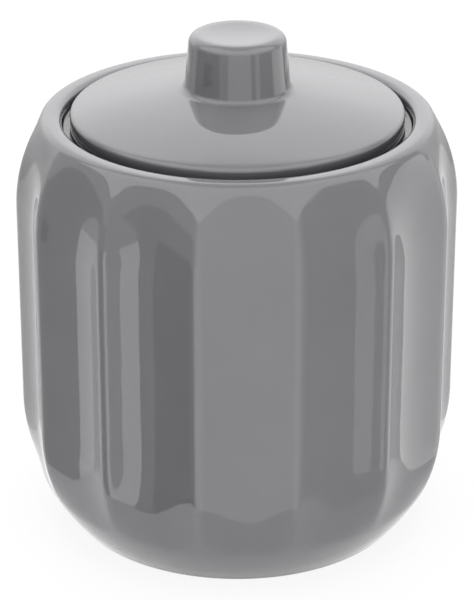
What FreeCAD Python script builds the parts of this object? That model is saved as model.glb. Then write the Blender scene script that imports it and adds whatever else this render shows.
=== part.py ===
import FreeCAD, Part
import math
import os
import Sketcher

# A fluted ceramic jar for cotton pads, with a loose inset lid and four soft pads under its foot.
# The origin is the middle of the surface that the jar stands on, and +Z is the jar's own axis.

doc = FreeCAD.newDocument("cotton_pad_jar")

# Driving dimensions: alias, value and meaning. Lengths are in millimetres.
DIMENSIONS = [
    ("jar_radius", 54.3, "largest radius, over the ridges"),
    ("jar_height", 105.8, "foot ring to the top of the lip"),
    ("foot_inset", 12.3, "foot ring's edge inside the largest radius"),
    ("base_round", 44.2, "radius of the curve under the wall"),
    ("rim_inset", 7.1, "lip's outer edge inside the largest radius"),
    ("shoulder_round", 42.6, "radius of the curve over the wall"),
    ("lip_width", 4.6, "flat of the lip before its edges are rounded"),
    ("lip_outer_round", 2.2, "rounding of the lip's outer edge"),
    ("lip_inner_round", 1.7, "rounding of the lip's inner edge"),
    ("flute_count", 14, "flutes round the jar"),
    ("flute_turn", 2.7, "degrees from the front to the nearest flute's middle"),
    ("flute_depth", 2.7, "ridge to flute floor where the flute is whole"),
    ("ridge_soft_share", 0.03, "softness of a ridge, as a share of the flute"),
    ("flute_foot_gap", 12.0, "plain height between foot ring and flutes"),
    ("flute_base_fade", 16.0, "height in which the flutes fade out below"),
    ("flute_rim_gap", 1.2, "plain height between flutes and lip"),
    ("flute_shoulder_fade", 20.0, "height in which the flutes fade out above"),
    ("wall_thickness", 4.1, "wall behind a flute's floor"),
    ("floor_thickness", 5.0, "jar's floor over the recess in its foot"),
    ("cavity_floor_round", 14.0, "rounding at the foot of the inside wall"),
    ("cavity_shoulder_round", 8.0, "rounding under the ledge"),
    ("ledge_depth", 3.1, "lip to the ledge that carries the lid"),
    ("ledge_width", 4.0, "mouth to throat"),
    ("ledge_thickness", 4.5, "height of the throat"),
    ("ledge_round", 0.8, "rounding of the ledge's edges"),
    ("foot_ring_width", 5.0, "foot ring's land"),
    ("foot_edge_round", 1.0, "rounding of the foot ring's outer edge"),
    ("lid_gap", 2.0, "open gap between lid and mouth"),
    ("lid_edge_height", 4.3, "ledge to the top of the lid's edge"),
    ("lid_edge_round", 1.4, "rounding of the lid's upper edge"),
    ("lid_rise", 6.0, "edge of the dome to its crown"),
    ("lid_thickness", 4.4, "thickness of the dome at its crown"),
    ("collar_clearance", 1.0, "gap between collar and throat"),
    ("collar_wall", 4.0, "thickness of the collar"),
    ("collar_depth", 6.5, "collar below the ledge"),
    ("collar_round", 1.0, "rounding of the collar's lower edges"),
    ("lid_seat_round", 0.6, "rounding of the lid's edge over the ledge"),
    ("lid_hollow_round", 2.5, "rounding inside the lid"),
    ("knob_foot_radius", 12.75, "knob where it meets the dome"),
    ("knob_top_radius", 11.65, "knob at its top"),
    ("knob_height", 13.0, "crown of the dome to the knob's top"),
    ("knob_edge_round", 2.3, "rounding of the knob's top edge"),
    ("knob_foot_round", 1.7, "glaze fillet round the knob's foot"),
    ("knob_dish_margin", 3.2, "flat border round the dish in the knob's top"),
    ("knob_dish_depth", 0.4, "dish in the knob's top"),
    ("pad_count", 4, "soft pads under the foot"),
    ("pad_radius", 5.0, "radius of a pad"),
    ("pad_thickness", 1.8, "thickness of a pad"),
    ("pad_proud", 0.4, "pad below the foot ring"),
    ("pad_margin", 3.0, "pad's edge to the foot ring"),
    ("cut_overrun", 5.0, "cuts run past the faces they open"),
]

sheet = doc.addObject("Spreadsheet::Sheet", "sizes")
for row, (alias, value, meaning) in enumerate(DIMENSIONS, start=1):
    sheet.set(f"A{row}", meaning)
    sheet.set(f"B{row}", str(value))
    sheet.setAlias(f"B{row}", alias)
doc.recompute()


def size(alias):
    """One driving dimension, read from the sheet."""
    return float(sheet.get(alias))


# Levels and radii that several pieces share, as expressions of the sheet's cells
FOOT_LEVEL = "sizes.pad_proud"
RECESS_LEVEL = "sizes.pad_thickness"
FLOOR_LEVEL = f"({RECESS_LEVEL} + sizes.floor_thickness)"
RIM_LEVEL = f"({FOOT_LEVEL} + sizes.jar_height)"
LEDGE_LEVEL = f"({RIM_LEVEL} - sizes.ledge_depth)"
CAVITY_TOP = f"({LEDGE_LEVEL} - sizes.ledge_thickness)"
ABOVE_RIM = f"({RIM_LEVEL} + sizes.cut_overrun)"
RIM_RADIUS = "(sizes.jar_radius - sizes.rim_inset)"
MOUTH_RADIUS = f"({RIM_RADIUS} - sizes.lip_width)"
THROAT_RADIUS = f"({MOUTH_RADIUS} - sizes.ledge_width)"
CAVITY_RADIUS = "(sizes.jar_radius - sizes.flute_depth - sizes.wall_thickness)"
CAVITY_FLOOR_RADIUS = f"({CAVITY_RADIUS} - sizes.cavity_floor_round)"
RECESS_RADIUS = "(sizes.jar_radius - sizes.foot_inset - sizes.foot_ring_width)"
LID_RADIUS = f"({MOUTH_RADIUS} - sizes.lid_gap)"
LID_EDGE_LEVEL = f"({LEDGE_LEVEL} + sizes.lid_edge_height)"
CROWN_LEVEL = f"({LID_EDGE_LEVEL} + sizes.lid_rise)"
COLLAR_RADIUS = f"({THROAT_RADIUS} - sizes.collar_clearance)"
COLLAR_BORE = f"({COLLAR_RADIUS} - sizes.collar_wall)"
COLLAR_LEVEL = f"({LEDGE_LEVEL} - sizes.collar_depth)"
DOME_RADIUS = f"(({LID_RADIUS}^2 + sizes.lid_rise^2) / (2 * sizes.lid_rise))"
HOLLOW_CROWN = f"({CROWN_LEVEL} - sizes.lid_thickness)"
HOLLOW_EDGE = f"({HOLLOW_CROWN} - {DOME_RADIUS} + sqrt({DOME_RADIUS}^2 - {COLLAR_BORE}^2))"
KNOB_FOOT = f"({CROWN_LEVEL} - {DOME_RADIUS} + sqrt({DOME_RADIUS}^2 - sizes.knob_foot_radius^2))"
KNOB_LEVEL = f"({CROWN_LEVEL} + sizes.knob_height)"
KNOB_TAPER = "((sizes.knob_foot_radius - sizes.knob_top_radius) / sizes.knob_height)"
KNOB_ROOT_RADIUS = f"(sizes.knob_foot_radius + {KNOB_TAPER} * sizes.lid_thickness)"
KNOB_DISH_RADIUS = "(sizes.knob_top_radius - sizes.knob_dish_margin)"

# The fillet under the ledge takes at most this share of the ledge's underside
FILLET_LIMIT_SHARE = 0.9
# Points across one flute of a section, how much they crowd at its ridges, and sections along each
# stretch of the meridian
POINTS_PER_FLUTE = 12
CROWDING_SHARE = 0.6
BASE_LEVELS = 9
WALL_LEVELS = 4
SHOULDER_LEVELS = 9
# A ring edge is looked for at this many points, and found within this share of its radius
RING_POINTS = 9
RING_NEAR_SHARE = 0.08


def value_of(expression):
    """The number that an expression of the sheet's cells gives."""
    return float(sheet.evalExpression(expression))


def meridian():
    """Heights and radii of a ridge from foot to lip: an arc, the straight wall and a second arc."""
    radius = size("jar_radius")
    base = size("base_round")
    shoulder = size("shoulder_round")
    foot = value_of(FOOT_LEVEL)
    rim = value_of(RIM_LEVEL)
    base_turn = math.acos(1 - size("foot_inset") / base)
    shoulder_turn = math.acos(1 - size("rim_inset") / shoulder)
    wall_low = foot + base * math.sin(base_turn)
    wall_high = rim - shoulder * math.sin(shoulder_turn)
    steps = []
    for i in range(BASE_LEVELS):
        turn = base_turn * (1 - i / BASE_LEVELS)
        steps.append((wall_low - base * math.sin(turn), radius - base * (1 - math.cos(turn))))
    for i in range(WALL_LEVELS):
        steps.append((wall_low + (wall_high - wall_low) * i / WALL_LEVELS, radius))
    for i in range(SHOULDER_LEVELS + 1):
        turn = shoulder_turn * i / SHOULDER_LEVELS
        steps.append((wall_high + shoulder * math.sin(turn), radius - shoulder * (1 - math.cos(turn))))
    return steps


def flute_strength(level):
    """How much of its depth a flute has at a level: whole on the wall, fading to none at both ends."""
    low = value_of(FOOT_LEVEL) + size("flute_foot_gap")
    high = value_of(RIM_LEVEL) - size("flute_rim_gap")
    below = min(max((level - low) / size("flute_base_fade"), 0), 1)
    above = min(max((high - level) / size("flute_shoulder_fade"), 0), 1)
    return math.sin(below * math.pi / 2) * math.sin(above * math.pi / 2)


def scoop(share):
    """A flute's depth across its width: a round hollow, 1 in its middle, between softened ridges."""
    soft = size("ridge_soft_share")
    aside = 1 / 2 - abs(share % 1 - 1 / 2)
    along = (math.hypot(aside, soft) - soft) / (math.hypot(1 / 2, soft) - soft) / 2
    return 4 * along * (1 - along)


def flute_place(i):
    """Where a section's point lies round the jar, counted in flutes. Points crowd at the ridges."""
    turn = i / POINTS_PER_FLUTE
    return turn - CROWDING_SHARE * math.sin(2 * math.pi * turn) / (2 * math.pi)


def fluted_section(level, ridge_radius):
    """Closed smooth curve round the jar at one level, in one span for each flute from ridge to ridge.
    Angles are counted from the front towards +X."""
    flutes = round(size("flute_count"))
    count = flutes * POINTS_PER_FLUTE
    depth = size("flute_depth") * flute_strength(level)
    points = []
    for i in range(count):
        flute = flute_place(i)
        angle = math.radians(size("flute_turn")) + 2 * math.pi * (flute - 1 / 2) / flutes
        radius = ridge_radius - depth * scoop(flute)
        points.append(FreeCAD.Vector(radius * math.sin(angle), -radius * math.cos(angle), level))
    curve = Part.BSplineCurve()
    places = [flute_place(i) for i in range(count + 1)]
    curve.interpolate(Points=points, PeriodicFlag=True, Parameters=places)
    return Part.Wire([curve.toShape(ridge, ridge + 1) for ridge in range(flutes)])


def origin_part(body, role):
    """A plane or axis of a body's own origin."""
    return next(part for part in body.Origin.OriginFeatures if part.Role == role)


def pin_radius(sketch, side, point, radius):
    """Holds a point of a sketch's side at a radius, which is an expression."""
    if value_of(radius) == 0:
        sketch.addConstraint(Sketcher.Constraint("PointOnObject", side, point, -2))
        return
    across = sketch.addConstraint(Sketcher.Constraint("DistanceX", -1, 1, side, point, value_of(radius)))
    sketch.setExpression(f"Constraints[{across}]", radius)


def half_section(body, name, corners, arcs):
    """Closed sketch of radius and height on a body's XZ plane. Each corner is a pair of expressions,
    and arcs names the sides that are arcs, each with the radius of its centre."""
    sketch = body.newObject("Sketcher::SketchObject", name)
    sketch.AttachmentSupport = (origin_part(body, "XZ_Plane"), [""])
    sketch.MapMode = "FlatFace"
    places = [FreeCAD.Vector(value_of(r), value_of(z), 0) for r, z in corners]
    starts = []
    ends = []
    for i, place in enumerate(places):
        following = places[(i + 1) % len(places)]
        if i not in arcs:
            sketch.addGeometry(Part.LineSegment(place, following), False)
            starts.append(1)
            ends.append(2)
            continue
        across = value_of(arcs[i])
        spread = (following.x - across)**2 - (place.x - across)**2 + following.y**2 - place.y**2
        middle = FreeCAD.Vector(across, spread / (2 * (following.y - place.y)), 0)
        circle = Part.Circle(middle, FreeCAD.Vector(0, 0, 1), place.distanceToPoint(middle))
        angles = [math.atan2(p.y - middle.y, p.x - middle.x) for p in (place, following)]
        forward = angles[0] < angles[1]
        sketch.addGeometry(Part.ArcOfCircle(circle, min(angles), max(angles)), False)
        pin_radius(sketch, i, 3, arcs[i])
        starts.append(1 if forward else 2)
        ends.append(2 if forward else 1)
    for i in range(len(places)):
        following = (i + 1) % len(places)
        sketch.addConstraint(Sketcher.Constraint("Coincident", i, ends[i], following, starts[following]))
    for i, (radius, height) in enumerate(corners):
        pin_radius(sketch, i, starts[i], radius)
        up = sketch.addConstraint(Sketcher.Constraint("DistanceY", -1, 1, i, starts[i], places[i].y))
        sketch.setExpression(f"Constraints[{up}]", height)
    return sketch


def turned(body, kind, name, corners, arcs=None):
    """A turned feature about the body's Z axis: kind is Revolution to add or Groove to cut."""
    sketch = half_section(body, name + "_sketch", corners, arcs or {})
    feature = body.newObject("PartDesign::" + kind, name)
    feature.Profile = sketch
    feature.ReferenceAxis = (origin_part(body, "Z_Axis"), [""])
    feature.Angle = 360
    before = body.Shape.Volume if body.Shape.Solids else 0
    doc.recompute()
    grown = feature.Shape.Volume - before
    if (grown > 0) != (kind == "Revolution"):
        raise RuntimeError(f"{name} changed the volume by {grown}")
    return feature


def ring_edges(feature, radius, level):
    """Names of the round edges of a feature that lie nearest to a radius and a level."""
    wanted_radius = value_of(radius)
    wanted_level = value_of(level)
    misses = {}
    for i, edge in enumerate(feature.Shape.Edges, start=1):
        if edge.Degenerated:
            continue
        points = edge.discretize(RING_POINTS)
        misses[f"Edge{i}"] = max(
            math.hypot(math.hypot(p.x, p.y) - wanted_radius, p.z - wanted_level) for p in points)
    nearest = min(misses.values())
    if nearest > RING_NEAR_SHARE * wanted_radius:
        raise RuntimeError(f"no edge of {feature.Name} at radius {wanted_radius} and level {wanted_level}")
    return [name for name, miss in misses.items() if miss <= nearest * (1 + RING_NEAR_SHARE)]


def rounded(body, name, rings, radius):
    """Fillet on the body's last feature, over rings that are pairs of radius and level."""
    tip = body.Tip
    names = [edge for ring in rings for edge in ring_edges(tip, *ring)]
    fillet = body.newObject("PartDesign::Fillet", name)
    fillet.Base = (tip, names)
    fillet.setExpression("Radius", radius)
    doc.recompute()
    return fillet


def make_jar():
    """The jar: a lofted fluted skin, hollowed, with a ledge for the lid and a recess in its foot."""
    sections = []
    for number, (level, radius) in enumerate(meridian()):
        section = doc.addObject("Part::Feature", f"jar_section_{number}")
        section.Shape = fluted_section(level, radius)
        sections.append(section)
    skin = doc.addObject("Part::Loft", "jar_skin")
    skin.Sections = sections
    skin.Solid = True
    skin.Ruled = False
    doc.recompute()
    body = doc.addObject("PartDesign::Body", "jar")
    body.BaseFeature = skin
    doc.recompute()
    turned(body, "Groove", "jar_hollow", [
        ("0", FLOOR_LEVEL),
        (CAVITY_FLOOR_RADIUS, FLOOR_LEVEL),
        (CAVITY_RADIUS, f"{FLOOR_LEVEL} + sizes.cavity_floor_round"),
        (CAVITY_RADIUS, CAVITY_TOP),
        (THROAT_RADIUS, CAVITY_TOP),
        (THROAT_RADIUS, LEDGE_LEVEL),
        (MOUTH_RADIUS, LEDGE_LEVEL),
        (MOUTH_RADIUS, ABOVE_RIM),
        ("0", ABOVE_RIM),
    ], arcs={1: CAVITY_FLOOR_RADIUS})
    turned(body, "Groove", "foot_recess", [
        ("0", f"{FOOT_LEVEL} - sizes.cut_overrun"),
        (RECESS_RADIUS, f"{FOOT_LEVEL} - sizes.cut_overrun"),
        (RECESS_RADIUS, RECESS_LEVEL),
        ("0", RECESS_LEVEL),
    ])
    under_ledge = f"{FILLET_LIMIT_SHARE} * ({CAVITY_RADIUS} - {THROAT_RADIUS})"
    foot_edge = ("sizes.jar_radius - sizes.foot_inset", FOOT_LEVEL)
    ledge_edges = [(THROAT_RADIUS, LEDGE_LEVEL), (MOUTH_RADIUS, LEDGE_LEVEL)]
    rounded(body, "cavity_shoulder_fillet", [(CAVITY_RADIUS, CAVITY_TOP)],
            f"min(sizes.cavity_shoulder_round; {under_ledge})")
    rounded(body, "ledge_fillet", ledge_edges, "sizes.ledge_round")
    rounded(body, "lip_outer_fillet", [(RIM_RADIUS, RIM_LEVEL)], "sizes.lip_outer_round")
    rounded(body, "lip_inner_fillet", [(MOUTH_RADIUS, RIM_LEVEL)], "sizes.lip_inner_round")
    rounded(body, "foot_fillet", [foot_edge], "sizes.foot_edge_round")
    return body


def make_lid():
    """The lid: a dome with a collar that drops into the throat, and the knob in one piece with it."""
    body = doc.addObject("PartDesign::Body", "lid")
    turned(body, "Revolution", "lid_dome", [
        ("0", COLLAR_LEVEL),
        (COLLAR_RADIUS, COLLAR_LEVEL),
        (COLLAR_RADIUS, LEDGE_LEVEL),
        (LID_RADIUS, LEDGE_LEVEL),
        (LID_RADIUS, LID_EDGE_LEVEL),
        ("0", CROWN_LEVEL),
    ], arcs={4: "0"})
    turned(body, "Revolution", "knob", [
        ("0", HOLLOW_CROWN),
        (KNOB_ROOT_RADIUS, HOLLOW_CROWN),
        ("sizes.knob_top_radius", KNOB_LEVEL),
        ("0", KNOB_LEVEL),
    ])
    turned(body, "Groove", "lid_hollow", [
        ("0", f"{COLLAR_LEVEL} - sizes.cut_overrun"),
        (COLLAR_BORE, f"{COLLAR_LEVEL} - sizes.cut_overrun"),
        (COLLAR_BORE, HOLLOW_EDGE),
        ("0", HOLLOW_CROWN),
    ], arcs={2: "0"})
    turned(body, "Groove", "knob_dish", [
        ("0", f"{KNOB_LEVEL} - sizes.knob_dish_depth"),
        (KNOB_DISH_RADIUS, KNOB_LEVEL),
        (KNOB_DISH_RADIUS, f"{KNOB_LEVEL} + sizes.cut_overrun"),
        ("0", f"{KNOB_LEVEL} + sizes.cut_overrun"),
    ], arcs={0: "0"})
    collar_edges = [(COLLAR_RADIUS, COLLAR_LEVEL), (COLLAR_BORE, COLLAR_LEVEL)]
    rounded(body, "knob_foot_fillet", [("sizes.knob_foot_radius", KNOB_FOOT)], "sizes.knob_foot_round")
    rounded(body, "knob_edge_fillet", [("sizes.knob_top_radius", KNOB_LEVEL)], "sizes.knob_edge_round")
    rounded(body, "lid_edge_fillet", [(LID_RADIUS, LID_EDGE_LEVEL)], "sizes.lid_edge_round")
    rounded(body, "lid_seat_fillet", [(LID_RADIUS, LEDGE_LEVEL)], "sizes.lid_seat_round")
    rounded(body, "collar_fillet", collar_edges, "sizes.collar_round")
    rounded(body, "lid_hollow_fillet", [(COLLAR_BORE, HOLLOW_EDGE)], "sizes.lid_hollow_round")
    return body


def make_pad(number):
    """One soft pad, stuck in the recess of the foot and standing a little below the foot ring."""
    pad = doc.addObject("Part::Cylinder", f"foot_pad_{number}")
    turn = f"({number} - 0.5) * 360 / sizes.pad_count"
    circle = f"({RECESS_RADIUS} - sizes.pad_margin - sizes.pad_radius)"
    pad.setExpression("Radius", "sizes.pad_radius")
    pad.setExpression("Height", "sizes.pad_thickness")
    pad.setExpression("Placement.Base.x", f"{circle} * cos({turn})")
    pad.setExpression("Placement.Base.y", f"{circle} * sin({turn})")
    return pad


def check(pieces):
    """Stops the build if an object failed or a piece is not one valid solid."""
    for item in doc.Objects:
        if "Invalid" in item.State or "Error" in item.State:
            raise RuntimeError(f"{item.Name} failed: {item.State}")
    for piece in pieces:
        if piece.Shape.isNull() or not piece.Shape.isValid() or len(piece.Shape.Solids) != 1:
            raise RuntimeError(f"{piece.Label} is not one valid solid")


pieces = [make_jar(), make_lid()]
for number in range(1, round(size("pad_count")) + 1):
    pieces.append(make_pad(number))
doc.recompute()
check(pieces)
os.makedirs("parts", exist_ok=True)
for piece in pieces:
    piece.Shape.exportStep(f"parts/{piece.Label}.step")
    box = piece.Shape.BoundBox
    print(f"{piece.Label}: {piece.Shape.Volume:.0f} mm3, z {box.ZMin:.2f} to {box.ZMax:.2f}, x to {box.XMax:.2f}")
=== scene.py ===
import math

import bmesh
import bpy
from bpy.props import FloatProperty, FloatVectorProperty, IntProperty, PointerProperty
from mathutils import Matrix, Vector


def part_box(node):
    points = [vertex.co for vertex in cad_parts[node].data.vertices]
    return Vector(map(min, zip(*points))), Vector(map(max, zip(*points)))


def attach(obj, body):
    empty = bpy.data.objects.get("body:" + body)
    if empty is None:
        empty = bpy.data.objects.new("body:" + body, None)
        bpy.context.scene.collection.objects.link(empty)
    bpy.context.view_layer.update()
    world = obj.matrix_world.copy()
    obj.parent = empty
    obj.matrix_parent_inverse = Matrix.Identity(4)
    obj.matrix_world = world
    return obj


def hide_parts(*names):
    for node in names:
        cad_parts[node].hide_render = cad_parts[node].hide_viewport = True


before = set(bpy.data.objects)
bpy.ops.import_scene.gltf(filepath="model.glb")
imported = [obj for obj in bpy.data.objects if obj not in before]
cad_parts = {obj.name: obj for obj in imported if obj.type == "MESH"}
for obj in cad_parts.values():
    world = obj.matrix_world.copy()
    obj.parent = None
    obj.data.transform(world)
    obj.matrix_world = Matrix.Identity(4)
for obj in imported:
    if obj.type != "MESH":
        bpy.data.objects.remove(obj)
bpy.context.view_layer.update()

bl_info = {
    "name": "Fluted cotton pad jar",
    "version": (1, 0, 0),
    "blender": (4, 5, 0),
    "location": "View3D > Sidebar > Jar",
    "description": "Builds a glazed fluted jar, its loose lid and foot pads, and the studio round them",
    "category": "Object",
}

MM = 0.001
JAR_LOW, JAR_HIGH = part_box("jar")
LID_LOW, LID_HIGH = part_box("lid")
PAD_NODES = sorted(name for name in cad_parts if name.startswith("foot_pad"))
_, PAD_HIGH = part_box(PAD_NODES[0])

# Steps of a full turn: a whole number for each flute, and a plain number for round pieces
STEPS_PER_FLUTE = 36
ROUND_STEPS = 224
PAD_STEPS = 48
ROUND_SEGMENTS = 6
MERGE_DISTANCE = 0.001 * MM

# Bare clay lies within this share of the edge's rounding above the lowest level of a piece
BARE_SHARE = 1 / 8
# Glaze is thin where a flute is shallower than one part in this many of its depth
THIN_PARTS = 4
# How far below its low level the painted shade of the seat still reaches
SEAT_SHADE_MARGIN = 1 * MM
# A pad's lower radius and its lower and upper rounding, as shares of its radius
PAD_TAPER = 0.94
PAD_LOW_ROUND = 0.08
PAD_HIGH_ROUND = 0.03
# Darkest tone of clay and pad, as a share of their colour
CLAY_SHADE = 0.7
PAD_SHADE = 0.8
# Sockets of a colour mix node, whose names are shared with its other kinds
MIX_A, MIX_B, MIX_RESULT = 6, 7, 2
WHITE = (1, 1, 1, 1)

# Soft boxes that light the jar: place, width, height and power
LAMPS = {
    "front_box": ((0, -0.88, 0.72), 1.8, 0.69, 4.8),
    "back_box": ((-0.08, 0.87, 0.74), 2.2, 1.12, 8),
    "top_box": ((0, 0, 1.1), 1.0, 1.0, 10.5),
}
# Share of white in the floor that the camera sees, the rest keeps the shadow
FLOOR_WHITE = 0.9
FLOOR_STEPS = 96
# Degrees that one flat of a round screen spans
SCREEN_FLAT = 3
# Painted reflections of a plain studio set of soft boxes and cloths: glowing sheets that light nothing and
# only reflections see,
# each in front of the one before: start and end angle from the front to the right, lower and upper angle from
# the horizon, brightness against white
SCREEN_RADIUS = 8.0
SCREEN_STEP = 0.02
SCREENS = {
    "overhead_box": (-105, 105, 20, 70, 2.5),
    "left_strip_box": (-120, -105, -50, -15, 1.5),
    "left_grey_cloth": (-105, -40, -50, 5, 0.5),
    "left_black_cloth": (-80, -50, -50, -10, 0.1),
    "left_box": (-40, -30, -50, -10, 2.2),
    "front_screen": (-20, 30, -50, 20, 1.8),
    "right_box": (40, 50, -30, 20, 1.7),
    "right_side_box": (85, 125, -50, 5, 2.1),
}
# Painted reflection of a bright wall behind: a glowing sheet that only reflections see; start and end angle,
# lower and upper angle of its glow, and brightness at its edge and in its middle
BACK_GLOW = (120, 240, -15, 60, 0.7, 2.0)
# Painted reflection of the floor round the foot: a glowing ring that only reflections see; inner and outer
# radius and brightness
NEAR_FLOOR = (0.0425, 0.080, 1.25)


def linear(code):
    """Linear colour of an sRGB hex code."""
    channels = [int(code[i:i + 2], 16) / 255 for i in (1, 3, 5)]
    return [c / 12.92 if c <= 0.04045 else ((c + 0.055) / 1.055) ** 2.4 for c in channels]


def length(name, millimetres, description):
    """A length property whose default is given in millimetres."""
    return FloatProperty(name=name, description=description, default=millimetres * MM, unit="LENGTH")


def colour(name, code, description):
    """A colour property whose default is an sRGB hex code."""
    return FloatVectorProperty(name=name, description=description, default=linear(code), subtype="COLOR")


class JarSizes(bpy.types.PropertyGroup):
    """Sizes of the jar. Its foot and rim levels come from the frame."""

    radius: length("Radius", 54.3, "Largest radius, over the ridges")
    foot_inset: length("Foot inset", 12.3, "Foot ring's edge inside the largest radius")
    base_round: length("Base curve", 44.2, "Radius of the curve under the wall")
    rim_inset: length("Rim inset", 7.1, "Lip's outer edge inside the largest radius")
    shoulder_round: length("Shoulder curve", 42.6, "Radius of the curve over the wall")
    lip_width: length("Lip width", 4.6, "Mouth to the lip's outer edge")
    lip_outer_round: length("Lip outer rounding", 2.2, "Rounding of the lip's outer edge")
    lip_inner_round: length("Lip inner rounding", 1.7, "Rounding of the lip's inner edge")
    flute_count: IntProperty(name="Flutes", description="Flutes round the jar", default=14)
    flute_turn: FloatProperty(
        name="Flute turn", description="From the front to the nearest flute's middle",
        default=math.radians(2.7), subtype="ANGLE")
    flute_depth: length("Flute depth", 2.7, "Ridge to flute floor where the flute is whole")
    ridge_softness: FloatProperty(
        name="Ridge softness", description="Softness of a ridge, as a share of the flute",
        default=0.03, subtype="FACTOR")
    flute_foot_gap: length("Plain foot", 12.0, "Plain height between foot ring and flutes")
    flute_base_fade: length("Lower fade", 16.0, "Height in which the flutes fade out below")
    flute_rim_gap: length("Plain rim", 1.2, "Plain height between flutes and lip")
    flute_shoulder_fade: length("Upper fade", 20.0, "Height in which the flutes fade out above")
    wall: length("Wall", 4.1, "Wall behind a flute's floor")
    floor: length("Floor", 5.0, "Jar's floor over the recess in its foot")
    floor_round: length("Floor rounding", 14.0, "Rounding at the foot of the inside wall")
    ledge_depth: length("Ledge depth", 3.1, "Lip to the ledge that carries the lid")
    ledge_width: length("Ledge width", 4.0, "Mouth to throat")
    ledge_thickness: length("Ledge thickness", 4.5, "Height of the throat")
    ledge_round: length("Ledge rounding", 0.8, "Rounding of the ledge's edges")
    under_ledge_round: length("Inner shoulder", 8.0, "Rounding under the ledge")
    foot_ring: length("Foot ring", 5.0, "Foot ring's land")
    foot_round: length("Foot rounding", 1.0, "Rounding of the foot ring's outer edge")


class LidSizes(bpy.types.PropertyGroup):
    """Sizes of the lid. Its collar and knob levels come from the frame."""

    edge_height: length("Edge height", 4.3, "Ledge to the top of the lid's edge")
    edge_round: length("Edge rounding", 1.4, "Rounding of the lid's upper edge")
    seat_round: length("Seat rounding", 0.6, "Rounding of the lid's edge over the ledge")
    rise: length("Rise", 6.0, "Edge of the dome to its crown")
    thickness: length("Thickness", 4.4, "Thickness of the dome at its crown")
    collar_clearance: length("Collar clearance", 1.0, "Gap between collar and throat")
    collar_wall: length("Collar wall", 4.0, "Thickness of the collar")
    collar_round: length("Collar rounding", 1.0, "Rounding of the collar's lower edges")
    hollow_round: length("Hollow rounding", 2.5, "Rounding inside the lid")
    knob_foot: length("Knob foot", 12.75, "Knob's radius where it meets the dome")
    knob_top: length("Knob top", 11.65, "Knob's radius at its top")
    knob_edge_round: length("Knob edge", 2.3, "Rounding of the knob's top edge")
    knob_foot_round: length("Knob fillet", 1.7, "Glaze fillet round the knob's foot")
    dish_margin: length("Dish margin", 3.2, "Flat border round the dish in the knob's top")
    dish_depth: length("Dish depth", 0.4, "Dish in the knob's top")


class Finishes(bpy.types.PropertyGroup):
    """Colours of the glaze, the bare clay and the pads, and the painted shade in the seat of the lid."""

    glaze: colour("Glaze", "#6a6a6d", "Glaze where it lies thick")
    glaze_thin: colour("Thin glaze", "#727275", "Glaze where it runs thin, on ridges and edges")
    # Painted shade: a near-black colour for the gap round the lid, where shade falls, not a glaze of its own
    seat_shade_colour: colour("Deep glaze", "#2c2c2f", "Glaze where it pools, in the seat of the lid")
    clay: colour("Bare clay", "#b8ad9d", "Fired clay of the unglazed foot ring")
    pad: colour("Pad", "#b9b9b6", "Soft pads under the foot")


class StageLook(bpy.types.PropertyGroup):
    """Camera and light of the studio."""

    camera_distance: length("Camera distance", 660.4, "From the camera to the middle of the view")
    camera_height: length("View middle", 56.35, "Height of the middle of the view")
    camera_elevation: FloatProperty(
        name="Camera elevation", description="Angle of the camera above the horizon",
        default=math.radians(24.34), subtype="ANGLE")
    lens: FloatProperty(name="Lens", description="Focal length in millimetres", default=158.4, unit="CAMERA")
    floor_radius: length("Floor radius", 4000.0, "Radius of the pale floor")
    ambient: FloatProperty(name="Ambient", description="Light of the world on the object", default=0.3)
    floor_colour: colour("Floor", "#fafafa", "Pale floor")


class Outline:
    """A half section that is drawn as a chain of vertices in the XZ plane, in radius and height."""

    def __init__(self, radius, height):
        self.bm = bmesh.new()
        self.tip = self.bm.verts.new((radius, 0, height))
        self.corners = []

    def line(self, radius, height, parts=1, rounding=0):
        """Straight run to a point, in equal parts. A rounding is kept for the corner at its end."""
        start = self.tip.co.copy()
        end = Vector((radius, 0, height))
        for part in range(parts):
            self.tip = bmesh.ops.extrude_vert_indiv(self.bm, verts=[self.tip])["verts"][0]
            self.tip.co = start.lerp(end, (part + 1) / parts)
        if rounding:
            self.corners.append((self.tip, rounding))

    def arc(self, radius, height, turn, parts):
        """Arc about a centre. A turn above zero goes from the radius axis towards the height axis."""
        made = bmesh.ops.spin(
            self.bm, geom=[self.tip], cent=(radius, 0, height), axis=(0, -1, 0), angle=turn, steps=parts)
        self.tip = next(item for item in made["geom_last"] if isinstance(item, bmesh.types.BMVert))

    def turned(self, steps, start=0):
        """Rounds the corners and turns the half section into a closed shell, from a start angle."""
        for corner, rounding in self.corners:
            bmesh.ops.bevel(
                self.bm, geom=[corner], offset=rounding, offset_type="OFFSET", segments=ROUND_SEGMENTS,
                profile=0.5, affect="VERTICES", material=-1)
        bmesh.ops.rotate(self.bm, verts=self.bm.verts, cent=(0, 0, 0), matrix=Matrix.Rotation(start, 3, "Z"))
        bmesh.ops.spin(
            self.bm, geom=self.bm.verts[:] + self.bm.edges[:], cent=(0, 0, 0), axis=(0, 0, 1),
            angle=2 * math.pi, steps=steps, use_merge=True)
        bmesh.ops.remove_doubles(self.bm, verts=self.bm.verts, dist=MERGE_DISTANCE)
        bmesh.ops.recalc_face_normals(self.bm, faces=self.bm.faces)
        return self.bm


def fillet_on_arc(centre, arc_radius, level, rounding, inward):
    """Fillet between a large arc and a level line: its centre, and the arc's angle where it starts.
    inward is 1 for a line at the arc's top and -1 for one at its foot."""
    height = level - inward * rounding
    lift = height - centre.y
    reach = arc_radius - rounding
    return Vector((centre.x + math.sqrt(reach**2 - lift**2), height)), math.asin(lift / reach)


def finished(bm, name, body, nodes, slot, *materials):
    """Makes an object of a bmesh that stands for CAD nodes, rides on their body and has these materials."""
    mesh = bpy.data.meshes.new(name)
    bm.to_mesh(mesh)
    bm.free()
    mesh.shade_smooth()
    for material in materials:
        mesh.materials.append(material)
    piece = bpy.data.objects.new(name, mesh)
    bpy.context.scene.collection.objects.link(piece)
    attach(piece, body)
    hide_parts(*nodes)


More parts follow.
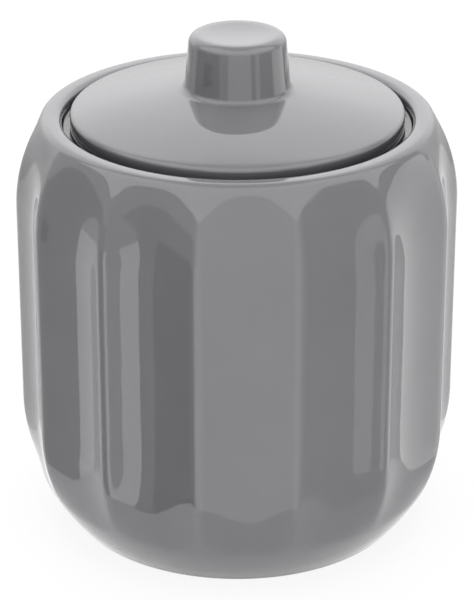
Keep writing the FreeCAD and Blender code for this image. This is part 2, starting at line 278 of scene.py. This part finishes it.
def add_node(material, kind, inputs=None, **settings):
    """Adds a node with its settings. An input is a value, or another node's output to link."""
    tree = material.node_tree
    node = tree.nodes.new(kind)
    for name, value in settings.items():
        setattr(node, name, value)
    for name, value in (inputs or {}).items():
        if isinstance(value, bpy.types.NodeSocket):
            tree.links.new(value, node.inputs[name])
        else:
            node.inputs[name].default_value = value
    return node


def new_material(name):
    """An empty node material with its output node."""
    material = bpy.data.materials.new(name)
    material.use_nodes = True
    material.node_tree.nodes.clear()
    return material, material.node_tree.nodes.new("ShaderNodeOutputMaterial")


def per_metre(millimetres):
    """Scale of a noise whose lumps have this size."""
    return 1 / (millimetres * MM)


def glazed_stoneware():
    """Slip-cast stoneware under a poured grey gloss glaze: mirror-like, a little wavy, cloudy in tone."""
    looks = bpy.context.scene.jar_finishes
    material, output = new_material("glazed stoneware")
    place = add_node(material, "ShaderNodeTexCoord").outputs["Object"]
    # Slow clouds where the poured glaze lies thicker or thinner
    clouds = add_node(material, "ShaderNodeTexNoise", {
        "Vector": place, "Scale": per_metre(22), "Detail": 3.0, "Roughness": 0.5})
    tone = add_node(material, "ShaderNodeMapRange", {
        "Value": clouds.outputs["Fac"], "From Min": 0.3, "From Max": 0.7, "To Min": 0.0, "To Max": 0.35})
    thin = add_node(material, "ShaderNodeAttribute", attribute_name="thin_glaze")
    share = add_node(material, "ShaderNodeMath", {0: thin.outputs["Fac"], 1: tone.outputs["Result"]},
                     operation="MAXIMUM")
    body = add_node(material, "ShaderNodeMix", {
        "Factor": share.outputs["Value"], MIX_A: (*looks.glaze, 1), MIX_B: (*looks.glaze_thin, 1)},
        data_type="RGBA")
    # Painted shade: the narrow seat of the lid, where the gap between lid and jar falls into shade, is
    # darkened nearly to black
    seat_shade_mask = add_node(material, "ShaderNodeAttribute", attribute_name="painted_seat_shade")
    body = add_node(material, "ShaderNodeMix", {
        "Factor": seat_shade_mask.outputs["Fac"], MIX_A: body.outputs[MIX_RESULT], MIX_B: (*looks.seat_shade_colour, 1)},
        data_type="RGBA")
    # Faint waves of a glaze that has run and set, which make straight reflections tremble
    waves = add_node(material, "ShaderNodeTexNoise", {
        "Vector": place, "Scale": per_metre(7), "Detail": 1.0, "Roughness": 0.4})
    bump = add_node(material, "ShaderNodeBump", {
        "Height": waves.outputs["Fac"], "Strength": 0.12, "Distance": 0.25 * MM})
    # Pinholes and dust leave the gloss a little uneven
    dust = add_node(material, "ShaderNodeTexNoise", {
        "Vector": place, "Scale": per_metre(1.2), "Detail": 2.0, "Roughness": 0.6})
    gloss = add_node(material, "ShaderNodeMapRange", {
        "Value": dust.outputs["Fac"], "From Min": 0.35, "From Max": 0.75, "To Min": 0.02, "To Max": 0.06})
    shader = add_node(material, "ShaderNodeBsdfPrincipled", {
        "Base Color": body.outputs[MIX_RESULT], "Roughness": gloss.outputs["Result"], "IOR": 1.6,
        "Normal": bump.outputs["Normal"]})
    material.node_tree.links.new(shader.outputs["BSDF"], output.inputs["Surface"])
    return material


def bare_stoneware():
    """Fired clay with no glaze, as on a wiped foot ring: dry, sandy and pale."""
    looks = bpy.context.scene.jar_finishes
    material, output = new_material("bare stoneware")
    place = add_node(material, "ShaderNodeTexCoord").outputs["Object"]
    grit = add_node(material, "ShaderNodeTexNoise", {
        "Vector": place, "Scale": per_metre(0.7), "Detail": 4.0, "Roughness": 0.7})
    body = add_node(material, "ShaderNodeMix", {
        "Factor": grit.outputs["Fac"], MIX_A: [c * CLAY_SHADE for c in looks.clay] + [1],
        MIX_B: (*looks.clay, 1)},
        data_type="RGBA")
    bump = add_node(material, "ShaderNodeBump", {
        "Height": grit.outputs["Fac"], "Strength": 0.5, "Distance": 0.1 * MM})
    shader = add_node(material, "ShaderNodeBsdfPrincipled", {
        "Base Color": body.outputs[MIX_RESULT], "Roughness": 0.9, "IOR": 1.5,
        "Normal": bump.outputs["Normal"]})
    material.node_tree.links.new(shader.outputs["BSDF"], output.inputs["Surface"])
    return material


def soft_pad():
    """Cast polyurethane bumper: soft, satin and slightly cloudy."""
    looks = bpy.context.scene.jar_finishes
    material, output = new_material("soft polyurethane")
    place = add_node(material, "ShaderNodeTexCoord").outputs["Object"]
    haze = add_node(material, "ShaderNodeTexNoise", {
        "Vector": place, "Scale": per_metre(1.5), "Detail": 2.0, "Roughness": 0.5})
    body = add_node(material, "ShaderNodeMix", {
        "Factor": haze.outputs["Fac"], MIX_A: [c * PAD_SHADE for c in looks.pad] + [1],
        MIX_B: (*looks.pad, 1)},
        data_type="RGBA")
    bump = add_node(material, "ShaderNodeBump", {
        "Height": haze.outputs["Fac"], "Strength": 0.2, "Distance": 0.05 * MM})
    shader = add_node(material, "ShaderNodeBsdfPrincipled", {
        "Base Color": body.outputs[MIX_RESULT], "Roughness": 0.45, "IOR": 1.49, "Subsurface Weight": 0.2,
        "Subsurface Scale": 1 * MM, "Normal": bump.outputs["Normal"]})
    material.node_tree.links.new(shader.outputs["BSDF"], output.inputs["Surface"])
    return material


def glaze():
    """The one glaze of jar and lid, made once."""
    return bpy.data.materials.get("glazed stoneware") or glazed_stoneware()


def clay():
    """The one bare clay of jar and lid, made once."""
    return bpy.data.materials.get("bare stoneware") or bare_stoneware()


def jar_levels(sizes):
    """Levels and radii of the jar that its outline and the lid's share."""
    foot = JAR_LOW.z
    rim = JAR_HIGH.z
    mouth = sizes.radius - sizes.rim_inset - sizes.lip_width
    return {
        "foot": foot,
        "recess": PAD_HIGH.z,
        "floor": PAD_HIGH.z + sizes.floor,
        "rim": rim,
        "ledge": rim - sizes.ledge_depth,
        "cavity_top": rim - sizes.ledge_depth - sizes.ledge_thickness,
        "wall_low": foot + math.sqrt(sizes.base_round**2 - (sizes.base_round - sizes.foot_inset)**2),
        "wall_high": rim - math.sqrt(sizes.shoulder_round**2 - (sizes.shoulder_round - sizes.rim_inset)**2),
        "mouth": mouth,
        "throat": mouth - sizes.ledge_width,
        "cavity": sizes.radius - sizes.flute_depth - sizes.wall,
        "recess_radius": sizes.radius - sizes.foot_inset - sizes.foot_ring,
    }


def ridge_radius(sizes, at, height):
    """Radius of a ridge at a height: the wall between its two curves."""
    if height < at["wall_low"]:
        drop = min(at["wall_low"] - height, sizes.base_round)
        return sizes.radius - sizes.base_round + math.sqrt(sizes.base_round**2 - drop**2)
    climb = max(height - at["wall_high"], 0)
    return sizes.radius - sizes.shoulder_round + math.sqrt(sizes.shoulder_round**2 - climb**2)


def flute_strength(sizes, at, height):
    """How much of its depth a flute has at a height: whole on the wall, fading to none at both ends."""
    low = at["foot"] + sizes.flute_foot_gap
    high = at["rim"] - sizes.flute_rim_gap
    below = min(max((height - low) / sizes.flute_base_fade, 0), 1)
    above = min(max((high - height) / sizes.flute_shoulder_fade, 0), 1)
    return math.sin(below * math.pi / 2) * math.sin(above * math.pi / 2)


def scoop(sizes, share):
    """A flute's depth across its width: a round hollow that is 1 in its middle, with softened ridges."""
    soft = sizes.ridge_softness
    aside = 0.5 - abs(share - math.floor(share) - 0.5)
    along = (math.hypot(aside, soft) - soft) / (math.hypot(0.5, soft) - soft) / 2
    return 4 * along * (1 - along)


def jar_outline(sizes, at):
    """Half section of the jar: up the inside to the mouth, over the lip, down the wall and under the foot."""
    outline = Outline(0, at["floor"])
    inner = at["cavity"] - sizes.floor_round
    outline.line(inner, at["floor"], parts=5)
    outline.arc(inner, at["floor"] + sizes.floor_round, math.pi / 2, parts=10)
    outline.line(at["cavity"], at["cavity_top"], parts=6, rounding=sizes.under_ledge_round)
    outline.line(at["throat"], at["cavity_top"], rounding=sizes.ledge_round / 2)
    outline.line(at["throat"], at["ledge"], rounding=sizes.ledge_round)
    outline.line(at["mouth"], at["ledge"], rounding=sizes.ledge_round)
    outline.line(at["mouth"], at["rim"], rounding=sizes.lip_inner_round)
    shoulder = Vector((sizes.radius - sizes.shoulder_round, at["wall_high"]))
    lip, lip_end = fillet_on_arc(shoulder, sizes.shoulder_round, at["rim"], sizes.lip_outer_round, 1)
    outline.line(lip.x, at["rim"])
    outline.arc(*lip, lip_end - math.pi / 2, parts=8)
    outline.arc(*shoulder, -lip_end, parts=22)
    outline.line(sizes.radius, at["wall_low"], parts=18)
    base = Vector((sizes.radius - sizes.base_round, at["wall_low"]))
    foot, foot_start = fillet_on_arc(base, sizes.base_round, at["foot"], sizes.foot_round, -1)
    outline.arc(*base, foot_start, parts=22)
    outline.arc(*foot, -math.pi / 2 - foot_start, parts=5)
    outline.line(at["recess_radius"], at["foot"], parts=2, rounding=sizes.foot_round / 2)
    outline.line(at["recess_radius"], at["recess"], rounding=sizes.foot_round / 2)
    outline.line(0, at["recess"], parts=3)
    return outline


def press_flutes(bm, sizes, at):
    """Presses the flutes into the outer skin, and keeps where the glaze runs thin over the ridges."""
    thin = bm.verts.layers.float.new("thin_glaze")
    pitch = 2 * math.pi / sizes.flute_count
    for vert in bm.verts:
        radius = vert.co.xy.length
        strength = flute_strength(sizes, at, vert.co.z)
        if not strength or radius < ridge_radius(sizes, at, vert.co.z) - sizes.wall / 2:
            continue
        angle = math.atan2(vert.co.x, -vert.co.y) - sizes.flute_turn
        hollow = scoop(sizes, angle / pitch + 0.5)
        vert.co.xy *= 1 - sizes.flute_depth * (strength * hollow) / radius
        vert[thin] = strength * max(0, 1 - THIN_PARTS * hollow)


def paint_seat_shade(bm, inner, outer, low, high):
    """Keeps where shade is painted in the seat of the lid: between two radii, fading in from a high to a low
    level.
    """
    seat_shade_mask = bm.verts.layers.float.new("painted_seat_shade")
    for vert in bm.verts:
        if inner < vert.co.xy.length < outer and vert.co.z > low - SEAT_SHADE_MARGIN:
            vert[seat_shade_mask] = min(max((high - vert.co.z) / (high - low), 0), 1)


class JAR_OT_make_jar(bpy.types.Operator):
    """Turns the jar's half section, presses its flutes and leaves the foot ring bare"""

    bl_idname = "jar.make_jar"
    bl_label = "Make jar"

    def execute(self, context):
        sizes = context.scene.jar_sizes
        at = jar_levels(sizes)
        ridge = sizes.flute_turn - math.pi / 2 + math.pi / sizes.flute_count
        bm = jar_outline(sizes, at).turned(STEPS_PER_FLUTE * sizes.flute_count, start=ridge)
        press_flutes(bm, sizes, at)
        # Painted shade on the inner lip and ledge, where the gap round the lid falls dark
        seat = (at["throat"] - sizes.ledge_round / 4, at["mouth"] + sizes.lip_inner_round / 2)
        paint_seat_shade(bm, *seat, at["ledge"] + sizes.lip_inner_round / 2, at["rim"] - sizes.lip_inner_round / 4)
        for face in bm.faces:
            on_land = face.calc_center_median().z < at["foot"] + sizes.foot_round * BARE_SHARE
            face.material_index = 1 if on_land else 0
        finished(bm, "fluted_jar", "jar", ["jar"], "glazed_ceramic", glaze(), clay())
        return {"FINISHED"}


def lid_outline(sizes, at):
    """Half section of the lid: inside from the axis, round the collar, over the dome and up the knob."""
    edge = at["ledge"] + sizes.edge_height
    crown = edge + sizes.rise
    radius = LID_HIGH.x
    dome = (radius**2 + sizes.rise**2) / (2 * sizes.rise)
    collar = at["throat"] - sizes.collar_clearance
    bore = collar - sizes.collar_wall
    hollow_turn = math.asin(bore / dome)
    top = LID_HIGH.z
    outline = Outline(0, crown - sizes.thickness)
    outline.arc(0, crown - sizes.thickness - dome, -hollow_turn, parts=10)
    outline.corners.append((outline.tip, sizes.hollow_round))
    outline.line(bore, LID_LOW.z, rounding=sizes.collar_round)
    outline.line(collar, LID_LOW.z, rounding=sizes.collar_round)
    outline.line(collar, at["ledge"])
    outline.line(radius, at["ledge"], rounding=sizes.seat_round)
    rim_turn = math.asin((radius - sizes.edge_round) / (dome - sizes.edge_round))
    rim_level = crown - dome + (dome - sizes.edge_round) * math.cos(rim_turn)
    outline.line(radius, rim_level)
    outline.arc(radius - sizes.edge_round, rim_level, math.pi / 2 - rim_turn, parts=6)
    foot_turn = math.asin((sizes.knob_foot + sizes.knob_foot_round) / (dome + sizes.knob_foot_round))
    outline.arc(0, crown - dome, rim_turn - foot_turn, parts=24)
    slope = math.atan((sizes.knob_foot - sizes.knob_top) / (top - crown))
    fillet = Vector((sizes.knob_foot + sizes.knob_foot_round,
                     crown - dome + (dome + sizes.knob_foot_round) * math.cos(foot_turn)))
    outline.arc(*fillet, -(math.pi / 2 - foot_turn - slope), parts=6)
    shift = sizes.knob_edge_round
    edge_middle = sizes.knob_top - shift * math.tan(math.pi / 4 - slope / 2)
    outline.line(edge_middle + shift * math.cos(slope), top - shift + shift * math.sin(slope), parts=4)
    outline.arc(edge_middle, top - shift, math.pi / 2 - slope, parts=8)
    dish = sizes.knob_top - sizes.dish_margin
    outline.line(dish, top, parts=2)
    bowl = (dish**2 + sizes.dish_depth**2) / (2 * sizes.dish_depth)
    outline.arc(0, top - sizes.dish_depth + bowl, -math.asin(dish / bowl), parts=8)
    return outline


class JAR_OT_make_lid(bpy.types.Operator):
    """Turns the lid with its collar and its knob in one piece"""

    bl_idname = "jar.make_lid"
    bl_label = "Make lid"

    def execute(self, context):
        sizes = context.scene.lid_sizes
        at = jar_levels(context.scene.jar_sizes)
        bm = lid_outline(sizes, at).turned(ROUND_STEPS)
        edge = at["ledge"] + sizes.edge_height
        # Painted shade on the lid's side over the ledge, where the gap round it falls dark
        paint_seat_shade(bm, LID_HIGH.x - sizes.edge_round, math.inf, at["ledge"], edge - sizes.edge_round / 3)
        for face in bm.faces:
            on_land = face.calc_center_median().z < LID_LOW.z + sizes.collar_round * BARE_SHARE
            face.material_index = 1 if on_land else 0
        finished(bm, "domed_lid", "lid", ["lid"], "glazed_ceramic", glaze(), clay())
        return {"FINISHED"}


class JAR_OT_make_pads(bpy.types.Operator):
    """Makes the soft pads in the recess of the foot"""

    bl_idname = "jar.make_pads"
    bl_label = "Make foot pads"

    def execute(self, context):
        material = soft_pad()
        for node in PAD_NODES:
            low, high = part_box(node)
            radius = (high.x - low.x) / 2
            outline = Outline(0, low.z)
            outline.line(radius * PAD_TAPER, low.z, parts=3, rounding=radius * PAD_LOW_ROUND)
            outline.line(radius, high.z, rounding=radius * PAD_HIGH_ROUND)
            outline.line(0, high.z, parts=3)
            bm = outline.turned(PAD_STEPS)
            bmesh.ops.translate(bm, verts=bm.verts, vec=((low.x + high.x) / 2, (low.y + high.y) / 2, 0))
            finished(bm, node.replace("foot_pad", "soft_pad"), "jar", [node], "pad_rubber", material)
        return {"FINISHED"}


def seen_as_white(material, white_share):
    """Share of white for camera, glossy and transmission rays, and none for the light on the object."""
    rays = add_node(material, "ShaderNodeLightPath")
    seen = add_node(material, "ShaderNodeMath", {
        0: rays.outputs["Is Camera Ray"], 1: rays.outputs["Is Glossy Ray"]}, operation="MAXIMUM")
    seen = add_node(material, "ShaderNodeMath", {
        0: seen.outputs["Value"], 1: rays.outputs["Is Transmission Ray"]}, operation="MAXIMUM")
    share = add_node(material, "ShaderNodeMath", {
        0: seen.outputs["Value"], 1: white_share}, operation="MULTIPLY")
    return share.outputs["Value"]


def pale_floor(look):
    """Plain pale studio floor that reads as white and keeps the object's shadow."""
    material, output = new_material("pale studio floor")
    plain = add_node(material, "ShaderNodeBsdfDiffuse", {"Color": (*look.floor_colour, 1)})
    white = add_node(material, "ShaderNodeEmission", {"Strength": 1.0})
    share = seen_as_white(material, FLOOR_WHITE)
    mix = add_node(material, "ShaderNodeMixShader", {
        "Fac": share, 1: plain.outputs["BSDF"], 2: white.outputs["Emission"]})
    material.node_tree.links.new(mix.outputs["Shader"], output.inputs["Surface"])
    return material


def painted_reflection_material(name, strength):
    """A glowing sheet that only reflections see: a painted reflection of a box or cloth, as bright as its
    strength.
    """
    material, output = new_material(name)
    glow = add_node(material, "ShaderNodeEmission", {"Strength": strength})
    material.node_tree.links.new(glow.outputs["Emission"], output.inputs["Surface"])
    return material


def painted_wall_glow_material(name, low, high, edge, middle):
    """Painted reflection of a lit wall: a glow that is strongest halfway up and fades softly to both of its
    edges.
    """
    material, output = new_material(name)
    place = add_node(material, "ShaderNodeTexCoord").outputs["Object"]
    height = add_node(material, "ShaderNodeSeparateXYZ", {"Vector": place}).outputs["Z"]
    aside = add_node(material, "ShaderNodeMath", {0: height, 1: (low + high) / 2}, operation="SUBTRACT")
    aside = add_node(material, "ShaderNodeMath", {0: aside.outputs["Value"]}, operation="ABSOLUTE")
    fade = add_node(material, "ShaderNodeMapRange", {
        "Value": aside.outputs["Value"], "From Min": (high - low) / 6, "From Max": (high - low) / 2,
        "To Min": middle, "To Max": edge}, interpolation_type="SMOOTHSTEP")
    glow = add_node(material, "ShaderNodeEmission", {"Strength": fade.outputs["Result"]})
    material.node_tree.links.new(glow.outputs["Emission"], output.inputs["Surface"])
    return material


def add_stage_piece(bm, name, material):
    """Links a bmesh to the scene as part of the stage."""
    mesh = bpy.data.meshes.new(name)
    bm.to_mesh(mesh)
    bm.free()
    mesh.materials.append(material)
    piece = bpy.data.objects.new(name, mesh)
    bpy.context.scene.collection.objects.link(piece)
    return piece


def only_reflected(screen):
    """Leaves a piece of the stage to reflections alone."""
    screen.visible_camera = False
    screen.visible_diffuse = False
    screen.visible_transmission = False
    screen.visible_shadow = False


def screen_line(radius, level, low, high):
    """Upright line of a screen at a radius, between two angles in degrees that are seen from a level."""
    return [(radius, level + radius * math.tan(math.radians(rise))) for rise in (low, high)]


def add_sector(name, profile, start, end, material):
    """A glowing sheet that only reflections see, for a painted reflection: a line in radius and height,
    turned from a start to an end angle in degrees, which go from the front to the right."""
    bm = bmesh.new()
    ends = [bm.verts.new((0, -radius, height)) for radius, height in profile]
    line = bm.edges.new(ends)
    bmesh.ops.rotate(bm, cent=(0, 0, 0), matrix=Matrix.Rotation(math.radians(start), 3, "Z"), verts=ends)
    bmesh.ops.spin(
        bm, geom=[*ends, line], cent=(0, 0, 0), axis=(0, 0, 1),
        angle=math.radians(end - start), steps=max(2, round((end - start) / SCREEN_FLAT)))
    bmesh.ops.remove_doubles(bm, verts=bm.verts, dist=MERGE_DISTANCE)
    only_reflected(add_stage_piece(bm, name, material))


def add_lamp(name, place, target, wide, high, energy):
    """A soft box that looks at a target."""
    data = bpy.data.lights.new(name, "AREA")
    data.shape = "RECTANGLE"
    data.size = wide
    data.size_y = high
    data.energy = energy
    lamp = bpy.data.objects.new(name, data)
    lamp.location = place
    lamp.rotation_euler = (Vector(target) - Vector(place)).to_track_quat("-Z", "Y").to_euler()
    lamp.visible_camera = False
    lamp.visible_glossy = False
    bpy.context.scene.collection.objects.link(lamp)


class JAR_OT_set_stage(bpy.types.Operator):
    """Sets the pale floor, the soft light, the glowing sheets that paint the reflections of boxes, cloths,
    wall and floor, and the camera
    """

    bl_idname = "jar.set_stage"
    bl_label = "Set stage"

    def execute(self, context):
        scene = context.scene
        look = scene.jar_stage
        scene.view_settings.view_transform = "Standard"

        bm = bmesh.new()
        bmesh.ops.create_circle(bm, cap_ends=True, segments=FLOOR_STEPS, radius=look.floor_radius)
        add_stage_piece(bm, "pale_floor", pale_floor(look)).visible_glossy = False

        world = bpy.data.worlds.new("studio")
        scene.world = world
        world.use_nodes = True
        world.node_tree.nodes.clear()
        output = world.node_tree.nodes.new("ShaderNodeOutputWorld")
        dim = add_node(world, "ShaderNodeBackground", {"Color": WHITE, "Strength": look.ambient})
        white = add_node(world, "ShaderNodeBackground", {"Color": WHITE, "Strength": 1.0})
        share = seen_as_white(world, 1.0)
        mix = add_node(world, "ShaderNodeMixShader", {
            "Fac": share, 1: dim.outputs["Background"], 2: white.outputs["Background"]})
        world.node_tree.links.new(mix.outputs["Shader"], output.inputs["Surface"])

        middle = Vector((0, 0, look.camera_height))
        for name, (place, wide, high, energy) in LAMPS.items():
            add_lamp(name, place, middle, wide, high, energy)
        for index, (name, (start, end, low, high, strength)) in enumerate(SCREENS.items()):
            line = screen_line(SCREEN_RADIUS - SCREEN_STEP * index, middle.z, low, high)
            add_sector(name, line, start, end, painted_reflection_material(name, strength))
        start, end, low, high, edge, core = BACK_GLOW
        line = screen_line(SCREEN_RADIUS, middle.z, low, high)
        glow = painted_wall_glow_material("back_glow", line[0][1], line[1][1], edge, core)
        add_sector("back_glow", line, start, end, glow)
        # Painted reflection of the floor round the foot, in place of the floor that reflections do not see
        inner, outer, strength = NEAR_FLOOR
        add_sector("near_floor", [(inner, 0), (outer, 0)], 0, 360, painted_reflection_material("near_floor", strength))

        data = bpy.data.cameras.new("camera")
        data.lens = look.lens
        camera = bpy.data.objects.new("camera", data)
        back = Vector((0, -math.cos(look.camera_elevation), math.sin(look.camera_elevation)))
        camera.location = middle + back * look.camera_distance
        camera.rotation_euler = (-back).to_track_quat("-Z", "Y").to_euler()
        scene.collection.objects.link(camera)
        scene.camera = camera
        return {"FINISHED"}


class JAR_PT_panel(bpy.types.Panel):
    """Lists the pieces of the jar and its stage"""

    bl_idname = "JAR_PT_panel"
    bl_label = "Cotton pad jar"
    bl_space_type = "VIEW_3D"
    bl_region_type = "UI"
    bl_category = "Jar"

    def draw(self, context):
        for operator in OPERATORS:
            self.layout.operator(operator.bl_idname)
        for name in GROUPS:
            group = getattr(context.scene, name)
            box = self.layout.box()
            for field in group.bl_rna.properties.keys():
                if field not in ("rna_type", "name"):
                    box.prop(group, field)


GROUPS = {"jar_sizes": JarSizes, "lid_sizes": LidSizes, "jar_finishes": Finishes, "jar_stage": StageLook}
OPERATORS = (JAR_OT_make_jar, JAR_OT_make_lid, JAR_OT_make_pads, JAR_OT_set_stage)


def register():
    for cls in (*GROUPS.values(), *OPERATORS, JAR_PT_panel):
        bpy.utils.register_class(cls)
    for name, group in GROUPS.items():
        setattr(bpy.types.Scene, name, PointerProperty(type=group))


def unregister():
    for name in GROUPS:
        delattr(bpy.types.Scene, name)
    for cls in reversed((*GROUPS.values(), *OPERATORS, JAR_PT_panel)):
        bpy.utils.unregister_class(cls)


def main():
    """Builds the jar, its lid, its pads and its stage."""
    register()
    bpy.ops.jar.make_jar()
    bpy.ops.jar.make_lid()
    bpy.ops.jar.make_pads()
    bpy.ops.jar.set_stage()


if __name__ == "__main__":
    main()
